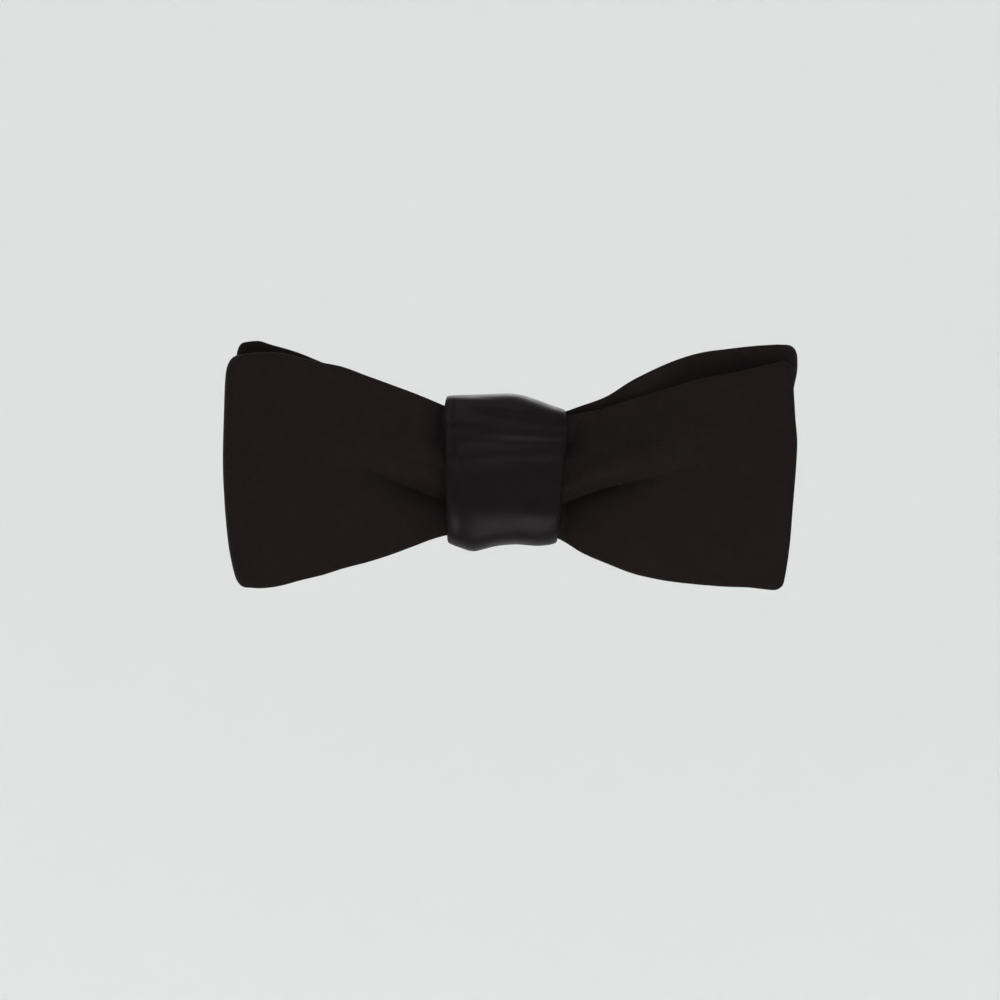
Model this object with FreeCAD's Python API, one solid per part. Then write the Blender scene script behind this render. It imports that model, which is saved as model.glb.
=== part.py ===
"""A hand-tied batwing bow tie with an adjustable neckband, closed as it is worn.

Millimetres. The origin is the centre of the neck, +Z runs up the neck and -Y is the wearer's front.
Angles round the neck are in degrees from the front (-Y), growing towards +X.

The tie is two sewn straps. Strap A makes the front bow: a folded loop at -X and a free end at +X.
Strap B makes the rear bow, the other way round, and its narrow part wraps the middle as the knot.
Each strap is two silk panels with an interlining between them. Behind the neck a tape runs from the
right half of the band through a sliding adjuster and round the bar of a hook, which holds an eye.
"""

import FreeCAD, Part

import math
import os

from FreeCAD import Vector

# ---- driving dimensions ----
NECK_RADIUS = 62.0  # inside of the band: a 390 mm collar, size 15 1/2
PANEL = 0.3  # silk panel
INTERLINING = 0.8  # also the thickness of the woven tapes
STRAP = 2 * PANEL + INTERLINING
EASE = 0.02  # gap between sewn layers
BAND_WIDTH = 20.0

KNOT_Y = -71.4  # middle plane of the knot
KNOT_HALF_DEPTH = 5.8
KNOT_TOP = 16.2
KNOT_BOTTOM = -17.4
KNOT_ROUNDING = 4.6
KNOT_LEFT = -13.5
KNOT_RIGHT_TOP = 13.1
KNOT_RIGHT_BOTTOM = 11.2

FOLD_RADIUS = 2.2  # centreline of the turned end of each bow loop
LOOP_A_FOLD_X = -60.0
LOOP_B_FOLD_X = 61.6
SEAM_INSET = 1.2  # the interlining stops this far inside the sewn edge

BAND_CROSSING = 9.0  # degrees that each half of the band runs past the middle, behind the knot
CROSSING_RISE = 1.9  # how far the right half stands out to pass over the left half
RIGHT_BAND_END = 76.0
LEFT_BAND_END = -160.0
TAPE_TUCK = 7.0  # degrees of tape sewn inside the end of the band
TAPE_CLEAR = 0.3  # degrees past the band's end where a tape starts to come in to the neck

CLOSURE_HALF_ANGLE = 10.0  # the hook's and the eye's bars, either side of the back
TURN_RADIUS = 1.5  # centreline of the tape round a bar
BAR_RADIUS = 0.8
TAIL_END = 90.0
TAIL_FOLD = 4.0

SLIDER_ANGLE = 120.0
SLIDER_HALF_ANGLE = 6.2
SLIDER_WALL = 1.6
METAL = 1.0  # thickness of the slider's bars
SHEET_METAL = 0.8  # thickness of the hook's tongue

CATCH_X = -0.9  # the eye's catch bar, just past the middle
CATCH_RADIUS = 0.6
HOOK_BEND_X = -1.5
HOOK_BEND_RADIUS = 1.05  # inside of the hook's bend
TONGUE_WIDTH = 8.0
EYE_WIDTH = 15.0
ARM = 1.6  # width of the metal arms

STITCH_LENGTH = 1.5
STITCH_SIZE = 0.3

LINING_INNER = NECK_RADIUS + PANEL
LINING_OUTER = LINING_INNER + INTERLINING
SEWN_MIDDLE = (LINING_INNER + LINING_OUTER) / 2  # where a tape is held between the band's panels
TAPE_MIDDLE = NECK_RADIUS + INTERLINING / 2  # past the band's end a tape lies on the neck
TAPE_OUTER = NECK_RADIUS + INTERLINING
BAR_RING = TAPE_MIDDLE + TURN_RADIUS
RETURN_MIDDLE = BAR_RING + TURN_RADIUS
BAND_OUTER = NECK_RADIUS + STRAP
HALF_BAND = BAND_WIDTH / 2
HALF_TAPE = HALF_BAND - 0.4


# ---- helpers ----
def polar(radius, angle, z=0.0):
    """A point at an angle round the neck."""
    a = math.radians(angle)
    return Vector(radius * math.sin(a), -radius * math.cos(a), z)


def tangent(angle, way=1):
    """The direction of growing angle there, or of falling angle with way=-1."""
    a = math.radians(angle)
    return Vector(math.cos(a), math.sin(a), 0) * way


def left_of(way):
    return Vector(-way.y, way.x, 0)


# A path seen from above is a list of pieces, each a line (2 points) or an arc (3 points).
# Every point is paired with the direction to the left of travel, so that a layer can lie beside it.
def ring_piece(radius, start, end):
    """An arc round the neck."""
    way = 1 if end > start else -1
    angles = (start, (start + end) / 2, end)
    return [(polar(radius, a), left_of(tangent(a, way))) for a in angles]


def half_turn(start, way, radius, side):
    """A half circle from start, leaving it along way, and turning left (side 1) or right (side -1)."""
    across = left_of(way) * side * radius
    return [
        (start, left_of(way)),
        (start + across + way * radius, way * -side),
        (start + across * 2, left_of(way) * -1),
    ]


def rounded_run(points):
    """Straight runs with a tangent arc at each corner, as large as its runs allow."""
    pieces, last = [], points[0]
    for before, corner, after in zip(points, points[1:], points[2:]):
        way_in, way_out = (corner - before).normalize(), (after - corner).normalize()
        turn = way_in.getAngle(way_out)
        if turn < 1e-4:
            continue
        reach = 0.45 * min((corner - before).Length, (after - corner).Length)
        start, end = corner - way_in * reach, corner + way_out * reach
        side = 1 if way_in.cross(way_out).z > 0 else -1
        radius = reach / math.tan(turn / 2)
        centre = start + left_of(way_in) * side * radius
        inward = (centre - corner).normalize()
        pieces.append([(last, left_of(way_in)), (start, left_of(way_in))])
        middle = centre - inward * radius
        pieces.append([(start, left_of(way_in)), (middle, inward * side), (end, left_of(way_out))])
        last = end
    way = (points[-1] - last).normalize()
    pieces.append([(last, left_of(way)), (points[-1], left_of(way))])
    return pieces


def edges_beside(pieces, distance):
    """The path's edges, moved to the left by a distance."""
    edges = []
    for piece in pieces:
        spots = [point + left * distance for point, left in piece]
        if len(spots) == 2:
            edges.append(Part.makeLine(*spots))
        else:
            edges.append(Part.Arc(*spots).toShape())
    return edges


def end_point(pieces, distance, which):
    point, left = pieces[which][which]
    return point + left * distance


def ribbon(pieces, near, far, low=-40.0, high=40.0):
    """A layer of cloth along a path, from near to far to its left, and from low to high."""
    edges = edges_beside(pieces, near) + edges_beside(pieces, far)
    for which in (0, -1):
        edges.append(Part.makeLine(end_point(pieces, near, which), end_point(pieces, far, which)))
    face = Part.Face(Part.Wire(Part.__sortEdges__(edges)))
    return face.translated(Vector(0, 0, low)).extrude(Vector(0, 0, high - low))


def ring_sector(inner, outer, start, end, low=-HALF_BAND, high=HALF_BAND):
    """Part of a tube round the neck."""
    return ribbon([ring_piece(outer, start, end)], 0.0, outer - inner, low, high)


def spline_edge(points):
    curve = Part.BSplineCurve()
    curve.interpolate(Points=points)
    return curve.toShape()


def as_one(shape):
    """The largest solid of a result, with its split faces joined."""
    return max(shape.Solids, key=lambda s: s.Volume).removeSplitter()


def front_view(edges):
    """A solid as deep as the whole bow, with an outline that is drawn in the XZ plane."""
    face = Part.Face(Part.Wire(edges))
    return face.translated(Vector(0, -100, 0)).extrude(Vector(0, 60, 0))


def xz(points):
    return [Vector(x, 0, z) for x, z in points]


def three_layers(pieces, outline, lining_outline):
    """The outer panel, interlining and inner panel of a strap along a path, cut to its outline."""
    half = STRAP / 2
    spans = {
        "outer_panel": (-half, -half + PANEL - EASE, outline),
        "interlining": (-half + PANEL, half - PANEL, lining_outline),
        "inner_panel": (half - PANEL + EASE, half, outline),
    }
    return {
        name: as_one(ribbon(pieces, near, far).common(shape))
        for name, (near, far, shape) in spans.items()
    }


# ---- bow outlines, as seen from the front ----
def side_edges(points):
    """A bow's end: a short cut corner, a gently bowed side and another cut corner."""
    points = xz(points)
    side = spline_edge(points[1:-1]) if len(points) > 4 else Part.makeLine(points[1], points[-2])
    return [Part.makeLine(points[0], points[1]), side, Part.makeLine(points[-2], points[-1])]


def closed_outline(top, right, foot, left):
    """Top and foot are smooth runs; right and left are the corner points that join them."""
    edges = [spline_edge(xz(top))] + side_edges([top[-1], *right, foot[0]])
    return edges + [spline_edge(xz(foot))] + side_edges([foot[-1], *left, top[0]])


def bow_a_outline(inset):
    """Strap A: the rounded folded loop at -X, the square free end at +X, gathered inside the knot."""
    t = inset
    top = [(-58.5, 25.2 - t), (-42.0, 23.4 - t), (-25.5, 18.2 - t), (-12.5, 12.6 - t)]
    top += [(0.0, 12.2 - t), (12.5, 11.6 - t), (35.5, 17.4 - t), (60.4 - t, 22.9 - t)]
    foot = [(59.4 - t, -26.7 + t), (40.7, -25.2 + t), (27.5, -23.0 + t), (12.5, -14.3 + t)]
    foot += [(-13.6, -14.1 + t), (-20.5, -17.2 + t), (-36.3, -22.0 + t), (-56.4, -26.0 + t)]
    free_end = [(61.6 - t, 21.6 - t), (63.4 - t, 4.0), (60.8 - t, -25.4 + t)]
    fold = [(-61.9, -22.6 + t), (-63.9, -3.0), (-63.3, 20.5 - t)]
    return closed_outline(top, free_end, foot, fold)


def bow_b_outline(inset):
    """Strap B: the square free end at -X, the rounded folded loop at +X, standing above strap A."""
    t = inset
    top = [(-57.6 + t, 28.6 - t), (-47.0, 26.3 - t), (-31.0, 20.4 - t), (-12.5, 13.3 - t)]
    top += [(12.5, 12.6 - t), (27.5, 19.6 - t), (38.0, 24.2 - t), (48.6, 26.5 - t), (62.0, 27.7 - t)]
    foot = [(60.5, -22.8 + t), (44.0, -22.6 + t), (28.0, -20.0 + t), (12.5, -14.9 + t)]
    foot += [(-12.5, -14.9 + t), (-25.0, -18.8 + t), (-44.0, -24.0 + t), (-57.6 + t, -26.6 + t)]
    fold = [(64.9, 25.0 - t), (65.3, 4.0), (64.1, -20.4 + t)]
    free_end = [(-59.0 + t, -25.2 + t), (-59.3 + t, 1.0), (-59.0 + t, 27.2 - t)]
    return closed_outline(top, fold, foot, free_end)


# ---- the bows ----
ACROSS = Vector(1, 0, 0)


def flat(points):
    """Points of a bow's path seen from above, with their depth counted from the knot's middle."""
    return [Vector(x, KNOT_Y + depth, 0) for x, depth in points]


def looped(to_fold, from_fold, way):
    """A strap's path: out to the fold along way, half round it to the left, and back across the bow."""
    start = flat(to_fold)[-1]
    turn = half_turn(start, way, FOLD_RADIUS, 1)
    home = [turn[-1][0]] + flat(from_fold)
    return rounded_run(flat(to_fold)) + [turn] + rounded_run(home)


def front_bow():
    """Strap A: from inside the knot out to the fold at -X, then across the front to the free end."""
    back = -4.2 + 2 * FOLD_RADIUS
    to_fold = [(-1.0, -1.6), (-15.0, -1.6), (-30.0, 0.7), (-54.0, back), (LOOP_A_FOLD_X, back)]
    from_fold = [(-56.0, -4.2), (-46.0, -5.6), (-26.0, -5.4), (-17.0, -3.3), (17.0, -3.3)]
    from_fold += [(27.0, -4.9), (48.0, -4.5), (62.5, -2.7)]
    pieces = looped(to_fold, from_fold, -ACROSS)
    return three_layers(pieces, front_view(bow_a_outline(0.0)), front_view(bow_a_outline(SEAM_INSET)))


def rear_bow():
    """Strap B: free end at -X, across the back of the knot, round the fold, and back into the knot."""
    front, back = 0.2, 0.2 + 2 * FOLD_RADIUS
    outward = [(-60.5, 2.7), (-46.0, 2.4), (-28.0, 2.6), (-15.0, 0.6), (14.5, 0.6)]
    outward += [(26.0, -1.4), (46.0, -1.8), (57.0, front), (LOOP_B_FOLD_X, front)]
    homeward = [(54.0, back), (30.0, 5.4), (15.0, 2.9), (1.0, 2.9)]
    pieces = looped(outward, homeward, ACROSS)
    return three_layers(pieces, front_view(bow_b_outline(0.0)), front_view(bow_b_outline(SEAM_INSET)))


# ---- the knot ----
def knot_section(inset):
    """The knot's rounded outline in the YZ plane, inset all round, as a face."""
    half = KNOT_HALF_DEPTH - inset
    low, high = KNOT_BOTTOM + inset, KNOT_TOP - inset
    r = KNOT_ROUNDING - inset
    box = Part.makeBox(1, 2 * half, high - low, Vector(0, KNOT_Y - half, low))
    corners = [e for e in box.Edges if abs(e.Vertexes[0].X - e.Vertexes[1].X) > 0.5]
    rounded = box.makeFillet(r, corners)
    return min(rounded.Faces, key=lambda f: f.CenterOfMass.x)


def knot_layers():
    """The wrap round the gathered middle: a tube along X, a little narrower at its foot."""
    points = [
        Vector(KNOT_LEFT, -100, KNOT_BOTTOM - 1),
        Vector(KNOT_RIGHT_BOTTOM, -100, KNOT_BOTTOM - 1),
        Vector(KNOT_RIGHT_TOP, -100, KNOT_TOP + 1),
        Vector(KNOT_LEFT, -100, KNOT_TOP + 1),
    ]
    outline = Part.Face(Part.makePolygon(points + points[:1])).extrude(Vector(0, 60, 0))
    length = KNOT_RIGHT_TOP - KNOT_LEFT

    def plug(inset):
        return knot_section(inset).translated(Vector(KNOT_LEFT, 0, 0)).extrude(Vector(length, 0, 0))

    spans = {
        "outer_panel": (0.0, PANEL - EASE),
        "interlining": (PANEL, STRAP - PANEL),
        "inner_panel": (STRAP - PANEL + EASE, STRAP),
    }
    return {
        name: as_one(plug(near).cut(plug(far)).common(outline))
        for name, (near, far) in spans.items()
    }


# ---- the neckband ----
def band_spans():
    """Radii of the band's three layers, from the neck out."""
    return {
        "inner_panel": (NECK_RADIUS, LINING_INNER - EASE),
        "interlining": (LINING_INNER, LINING_OUTER),
        "outer_panel": (LINING_OUTER + EASE, BAND_OUTER),
    }


def left_band():
    """From behind the knot round -X to the eye. The interlining stops where the eye's tape begins."""
    ends = {"interlining": LEFT_BAND_END + TAPE_TUCK + 0.5}
    made = {}
    for name, (inner, outer) in band_spans().items():
        inset = SEAM_INSET if name == "interlining" else 0.0
        made[name] = ring_sector(
            inner,
            outer,
            ends.get(name, LEFT_BAND_END),
            BAND_CROSSING,
            -HALF_BAND + inset,
            HALF_BAND - inset,
        )
    return made


def right_band():
    """From the front, over the left half and round +X to the adjuster's tape."""
    middle = NECK_RADIUS + STRAP / 2
    settle, cross = 24.0, 2.0  # where it has come down to the neck, and where it is furthest out
    start, top = polar(middle, settle), polar(middle + CROSSING_RISE, cross)
    way, over = tangent(settle, -1), tangent(cross, -1)
    reach = (top - start).cross(over).z / way.cross(over).z
    crossing = rounded_run([start, start + way * reach, top])
    crossing.append(ring_piece(middle + CROSSING_RISE, cross, -BAND_CROSSING))
    made = {}
    for name, (inner, outer) in band_spans().items():
        lining = name == "interlining"
        end = RIGHT_BAND_END - (TAPE_TUCK + 0.5 if lining else 0.0)
        edge = HALF_BAND - (SEAM_INSET if lining else 0.0)
        pieces = [ring_piece(middle, end, settle)] + crossing
        # with falling angle the left of travel is away from the neck
        made[name] = ribbon(pieces, inner - middle, outer - middle, -edge, edge)
    return made


# ---- tapes, hook, eye and slider ----
def tape_turn(angle, way):
    """The tape's half turn round a bar, from the neck side to the outside. way is 1 towards growing angle."""
    start = polar(TAPE_MIDDLE, angle)
    return half_turn(start, tangent(angle, way), TURN_RADIUS, -way)


def tape_run(tuck, band_end, settled, bar):
    """From inside the end of the band, in to the neck, and along it to a bar."""
    way = 1 if bar > tuck else -1
    leave = band_end + way * TAPE_CLEAR
    first, last = polar(SEWN_MIDDLE, leave), polar(TAPE_MIDDLE, settled)
    third = (last - first).Length / 3
    step = [first, first + tangent(leave, way) * third, last - tangent(settled, way) * third, last]
    return [
        ring_piece(SEWN_MIDDLE, tuck, leave),
        *rounded_run(step),
        ring_piece(TAPE_MIDDLE, settled, bar),
    ]


def tape_adjuster():
    """Sewn into the right half, through the slider, round the hook's bar, and back to a folded tail."""
    bar = 180.0 - CLOSURE_HALF_ANGLE
    pieces = tape_run(RIGHT_BAND_END - TAPE_TUCK, RIGHT_BAND_END, RIGHT_BAND_END + 6.0, bar)
    pieces += [tape_turn(bar, 1), ring_piece(RETURN_MIDDLE, bar, TAIL_END)]
    half = INTERLINING / 2
    run = ribbon(pieces, -half, half, -HALF_TAPE, HALF_TAPE)
    tail_inner = RETURN_MIDDLE + half
    tail_end = TAIL_END + TAIL_FOLD
    tail = ring_sector(
        tail_inner, tail_inner + INTERLINING, TAIL_END, tail_end, -HALF_TAPE, HALF_TAPE
    )
    return run.fuse(tail).removeSplitter()


def tape_eye():
    """Sewn into the left half, round the eye's bar, and back to the outside of the band."""
    bar = -(180.0 - CLOSURE_HALF_ANGLE)
    half = INTERLINING / 2
    lie = BAND_OUTER + EASE + half
    settle = LEFT_BAND_END + 2.0
    turned = polar(RETURN_MIDDLE, bar)
    laid = polar(lie, settle)
    pieces = tape_run(LEFT_BAND_END + TAPE_TUCK, LEFT_BAND_END, LEFT_BAND_END - 5.0, bar)
    pieces.append(tape_turn(bar, -1))
    pieces += rounded_run(
        [turned, turned + tangent(bar) * 1.5, laid - tangent(settle) * 2.0, laid]
    )
    pieces.append(ring_piece(lie, settle, settle + TAPE_TUCK))
    return ribbon(pieces, -half, half, -HALF_TAPE, HALF_TAPE)


def rod(start, end, radius):
    way = end - start
    return Part.makeCylinder(radius, way.Length, start, way)


def box_between(low, high):
    size = high - low
    return Part.makeBox(size.x, size.y, size.z, low)


def bar_frame(bar, plate_x):
    """The round bar that a tape turns on, and the two arms from it to a plate across the middle."""
    arm_z = HALF_BAND + ARM / 2
    shape = rod(bar + Vector(0, 0, -arm_z), bar + Vector(0, 0, arm_z), BAR_RADIUS)
    for side in (-1, 1):
        start = bar + Vector(0, 0, side * arm_z)
        end = Vector(plate_x, bar.y, side * arm_z)
        shape = shape.fuse(rod(start, end, BAR_RADIUS))
        shape = shape.fuse(Part.makeSphere(BAR_RADIUS, start))
        shape = shape.fuse(Part.makeSphere(BAR_RADIUS, end))
    crossbar = rod(
        Vector(plate_x, bar.y, -arm_z), Vector(plate_x, bar.y, arm_z), BAR_RADIUS
    )
    return shape.fuse(crossbar)


def hook():
    """A wire frame on the tape's turn, with a flat tongue bent round the eye's catch bar."""
    bar = polar(BAR_RING, 180.0 - CLOSURE_HALF_ANGLE)
    plate_x = bar.x - 4.2
    frame = bar_frame(bar, plate_x)
    bend_y = NECK_RADIUS + 0.15 + SHEET_METAL + HOOK_BEND_RADIUS
    half = TONGUE_WIDTH / 2
    low_y = bend_y - HOOK_BEND_RADIUS - SHEET_METAL
    tongue = box_between(
        Vector(HOOK_BEND_X, low_y, -half),
        Vector(plate_x + 0.5, low_y + SHEET_METAL, half),
    )
    centre = Vector(HOOK_BEND_X, bend_y, -half)
    up = Vector(0, 0, 1)
    bend = Part.makeCylinder(HOOK_BEND_RADIUS + SHEET_METAL, TONGUE_WIDTH, centre, up)
    bend = bend.cut(Part.makeCylinder(HOOK_BEND_RADIUS, TONGUE_WIDTH, centre, up))
    keep = box_between(Vector(HOOK_BEND_X - 5, bend_y - 5, -half), Vector(HOOK_BEND_X, bend_y + 5, half))
    return_leg = box_between(
        Vector(HOOK_BEND_X, bend_y + HOOK_BEND_RADIUS, -half),
        Vector(HOOK_BEND_X + 4.2, bend_y + HOOK_BEND_RADIUS + SHEET_METAL, half),
    )
    return frame.fuse([tongue, bend.common(keep), return_leg]).removeSplitter()


def eye():
    """A wire frame on its tape, with a narrower loop whose end is the catch bar in the hook's bend."""
    bar = polar(BAR_RING, -(180.0 - CLOSURE_HALF_ANGLE))
    plate_x = bar.x + 3.0
    frame = bar_frame(bar, plate_x)
    catch_y = NECK_RADIUS + 0.15 + SHEET_METAL + HOOK_BEND_RADIUS
    half = EYE_WIDTH / 2
    for side in (-1, 1):
        start = Vector(plate_x, bar.y, side * half)
        end = Vector(CATCH_X, catch_y, side * half)
        frame = frame.fuse([rod(start, end, CATCH_RADIUS), Part.makeSphere(CATCH_RADIUS, end)])
    catch = rod(Vector(CATCH_X, catch_y, -half), Vector(CATCH_X, catch_y, half), CATCH_RADIUS)
    return frame.fuse(catch).removeSplitter()


def slider():
    """Two rails joined by two outer bars over the tape's return and a middle bar between its two runs."""
    inner = TAPE_OUTER + 0.3
    outer = RETURN_MIDDLE + INTERLINING / 2 + 0.3 + METAL
    near, far = SLIDER_ANGLE - SLIDER_HALF_ANGLE, SLIDER_ANGLE + SLIDER_HALF_ANGLE
    rail_z = HALF_BAND + 0.4
    shape = ring_sector(inner, outer, near, far, rail_z, rail_z + SLIDER_WALL)
    parts = [ring_sector(inner, outer, near, far, -rail_z - SLIDER_WALL, -rail_z)]
    bar_turn = 1.7
    for start in (near, far - bar_turn):
        parts.append(ring_sector(outer - METAL, outer, start, start + bar_turn, -rail_z, rail_z))
    middle = (SLIDER_ANGLE - bar_turn / 2, SLIDER_ANGLE + bar_turn / 2)
    parts.append(ring_sector(inner, inner + 1.3, *middle, -rail_z, rail_z))
    return shape.fuse(parts).removeSplitter()


# ---- stitches and label ----
def stitch(radius, angle, z, upright):
    """One small stitch lying on a round surface."""
    along, high = (STITCH_SIZE, STITCH_LENGTH) if upright else (STITCH_LENGTH, STITCH_SIZE)
    block = Part.makeBox(along, STITCH_SIZE, high, Vector(-along / 2, -STITCH_SIZE, -high / 2))
    block.translate(Vector(0, -radius, z))
    block.rotate(Vector(0, 0, 0), Vector(0, 0, 1), angle)
    return block


def stitch_row(radius, angle, count):
    """A row of upright stitches across a band or tape."""
    reach = HALF_BAND - 1.8
    heights = [-reach + 2 * reach * i / (count - 1) for i in range(count)]
    return Part.makeCompound([stitch(radius, angle, z, True) for z in heights])


def bar_tack(radius, angle):
    """A bar tack: two close rows of stitches."""
    step = 0.8
    return Part.makeCompound([stitch_row(radius, angle, 8), stitch_row(radius, angle + step, 8)])


def label():
    """A plain woven label on the outside of the left half."""
    return ring_sector(BAND_OUTER + EASE, BAND_OUTER + 0.25, -118.0, -98.0, -6.0, 6.0)


def label_stitches():
    """A stitch at each corner of the label and along its two ends."""
    made = []
    for angle in (-117.2, -98.8):
        for z in (-5.0, -2.5, 0.0, 2.5, 5.0):
            made.append(stitch(BAND_OUTER + 0.25, angle, z, True))
    return Part.makeCompound(made)


# ---- everything, one STEP per node ----
def nodes():
    made = {}
    groups = {
        "front_bow": front_bow(),
        "rear_bow": rear_bow(),
        "knot": knot_layers(),
        "left_band": left_band(),
        "right_band": right_band(),
    }
    for group, layers in groups.items():
        for layer, shape in layers.items():
            made[f"{group}_{layer}"] = shape
    made["tape_adjuster"] = tape_adjuster()
    made["tape_eye"] = tape_eye()
    made["slider"] = slider()
    made["hook"] = hook()
    made["eye"] = eye()
    tape_lie = BAND_OUTER + EASE + INTERLINING
    made["adjuster_bar_tack"] = bar_tack(BAND_OUTER, RIGHT_BAND_END - 3.0)
    made["eye_bar_tack"] = bar_tack(tape_lie, LEFT_BAND_END + 4.0)
    made["tail_bar_tack"] = bar_tack(RETURN_MIDDLE + 1.5 * INTERLINING, TAIL_END + 1.2)
    made["label"] = label()
    made["label_stitches"] = label_stitches()
    return made


def main():
    os.makedirs("parts", exist_ok=True)
    for name, shape in nodes().items():
        good = all(s.isValid() and s.isClosed() and s.Volume > 0 for s in shape.Solids)
        box = shape.BoundBox
        print(
            f"{name}: {len(shape.Solids)} solids, valid {good}, volume {shape.Volume:.1f},"
            f" x {box.XMin:.1f} to {box.XMax:.1f}, y {box.YMin:.1f} to {box.YMax:.1f},"
            f" z {box.ZMin:.1f} to {box.ZMax:.1f}"
        )
        shape.exportStep(f"parts/{name}.step")


main()
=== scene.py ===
"""The look of a hand-tied batwing bow tie: silk cloth, tapes, threads and fittings round the CAD frame.

Lengths in this script are millimetres in the CAD frame until a mesh is made, which is in metres.
Each cloth piece is a thin closed ribbon. A surface function gives its middle sheet from s, along
the strap, and t, across it, and the ribbon lies half a thickness to each side, with sewn edges.
"""

import math

import bpy
import bmesh
import numpy as np
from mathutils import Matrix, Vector


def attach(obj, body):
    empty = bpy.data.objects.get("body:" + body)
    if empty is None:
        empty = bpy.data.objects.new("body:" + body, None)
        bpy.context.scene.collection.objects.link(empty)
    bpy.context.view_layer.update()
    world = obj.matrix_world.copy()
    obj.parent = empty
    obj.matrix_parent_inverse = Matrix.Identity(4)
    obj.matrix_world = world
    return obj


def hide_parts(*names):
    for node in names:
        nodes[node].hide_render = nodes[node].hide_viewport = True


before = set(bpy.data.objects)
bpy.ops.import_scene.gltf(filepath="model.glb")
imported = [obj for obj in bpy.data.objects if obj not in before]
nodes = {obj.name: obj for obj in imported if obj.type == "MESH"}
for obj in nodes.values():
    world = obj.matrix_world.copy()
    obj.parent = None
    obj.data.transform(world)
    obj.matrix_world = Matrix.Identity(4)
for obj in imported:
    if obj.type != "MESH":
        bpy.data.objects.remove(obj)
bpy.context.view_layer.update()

MM = 0.001
NECK = 62.0  # inside radius of the band
PANEL = 0.3  # thickness of a silk panel
TAPE = 0.8  # thickness of a tape
STRAP = 1.4  # thickness of two panels and an interlining
KNOT_Y = -71.4  # middle plane of the knot
HALF_BAND = 10.0
HALF_TAPE = 9.6
STEP = 0.75  # spacing of the cloth's grid
SEWN_SHARE = 0.92  # a sewn strap's flat part, as a share of its full thickness

CLOSURE = 170.0  # degrees from the front to the hook's bar, and to the eye's
BAR_TURN = 1.5  # radius of a tape's turn round a bar
FOLD_TURN = 0.42  # radius of the fold in the tape's tail
TAPE_LIFT = 0.06  # a tape's height above the band it is sewn on

SILK_THREAD = 0.00052  # spacings of threads and ribs, in metres
TAPE_THREAD = 0.0005
LABEL_THREAD = 0.00035
RIB = 0.0011


# ---- curves ----
def smooth_path(points, spacing=0.15):
    """A Catmull-Rom curve through 2-D or 3-D points, as dense even samples and their distance along it."""
    p = np.array(points, float)
    p = np.vstack([2 * p[0] - p[1], p, 2 * p[-1] - p[-2]])
    runs = []
    for a, b, c, d in zip(p, p[1:], p[2:], p[3:]):
        # centripetal spacing keeps uneven points from looping
        t1 = max(np.linalg.norm(b - a), 1e-6) ** 0.5
        t2 = t1 + max(np.linalg.norm(c - b), 1e-6) ** 0.5
        t3 = t2 + max(np.linalg.norm(d - c), 1e-6) ** 0.5
        t = np.linspace(t1, t2, 40, endpoint=False)[:, None]
        ab = a + (b - a) * t / t1
        bc = b + (c - b) * (t - t1) / (t2 - t1)
        cd = c + (d - c) * (t - t2) / (t3 - t2)
        abc = ab + (bc - ab) * t / t2
        bcd = bc + (cd - bc) * (t - t1) / (t3 - t1)
        runs.append(abc + (bcd - abc) * (t - t1) / (t2 - t1))
    dense = np.vstack(runs + [p[-2:-1]])
    s = np.concatenate([[0], np.cumsum(np.linalg.norm(np.diff(dense, axis=0), axis=1))])
    even = np.linspace(0, s[-1], max(int(s[-1] / spacing), 2))
    return even, np.stack([np.interp(even, s, dense[:, k]) for k in range(dense.shape[1])], axis=1)


def curve(points):
    """A smooth function through (x, value) points whose x only grows."""
    _, dense = smooth_path(sorted(points))

    def value(x):
        return np.interp(x, dense[:, 0], dense[:, 1])

    return value


def raised(function, amount):
    """The same curve, higher by an amount."""

    def value(x):
        return function(x) + amount

    return value


def ramp(x, low, high):
    """0 below low and 1 above high, smooth between them."""
    k = np.clip((x - low) / (high - low), 0, 1)
    return k * k * (3 - 2 * k)


def ripple(a, b, scale, seed):
    """Soft uneven waves of about that wavelength, from -1 to 1."""
    total = 0.0
    for k in range(5):
        turn = 2.399 * (k + seed)
        wave = scale * (0.75 + 0.22 * k)
        along = a * math.cos(turn) + b * math.sin(turn)
        total = total + np.sin(2 * math.pi * along / wave + 5.1 * k + 1.7 * seed)
    return total / 5


# ---- ribbons ----
# Edges: how far from the edge each row lies, and what share of the half thickness it has there.
SEWN = [(0.16, 0.0), (0.02, 0.22), (0.0, 0.5), (0.12, 0.78), (0.38, 0.97)]
SEWN += [(0.9, 1.06), (1.7, 1.04), (2.6, 0.95), (3.6, SEWN_SHARE)]
WOVEN = [(0.0, 0.0), (0.02, 0.6), (0.12, 0.95), (0.5, 1.0), (1.0, 0.94)]
PLAIN = [(0.0, 0.0), (0.0, 0.8), (0.15, 1.0)]


def rows(low, high, ladder, step):
    """Positions from low to high with an edge ladder at each end, and the thickness share of each."""
    inner = ladder[-1][0]
    count = max(int(round((np.max(high - low) - 2 * inner) / step)), 2)
    edge = [h for _, h in ladder]
    flat_part = SEWN_SHARE if ladder is SEWN else 1.0
    share = np.concatenate([edge, np.full(count - 1, flat_part), edge[::-1]])
    at = [low + d for d, _ in ladder]
    for k in range(1, count):
        at.append(low + inner + (high - low - 2 * inner) * k / count)
    at += [high - d for d, _ in ladder][::-1]
    return np.stack(at, axis=-1), share


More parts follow.
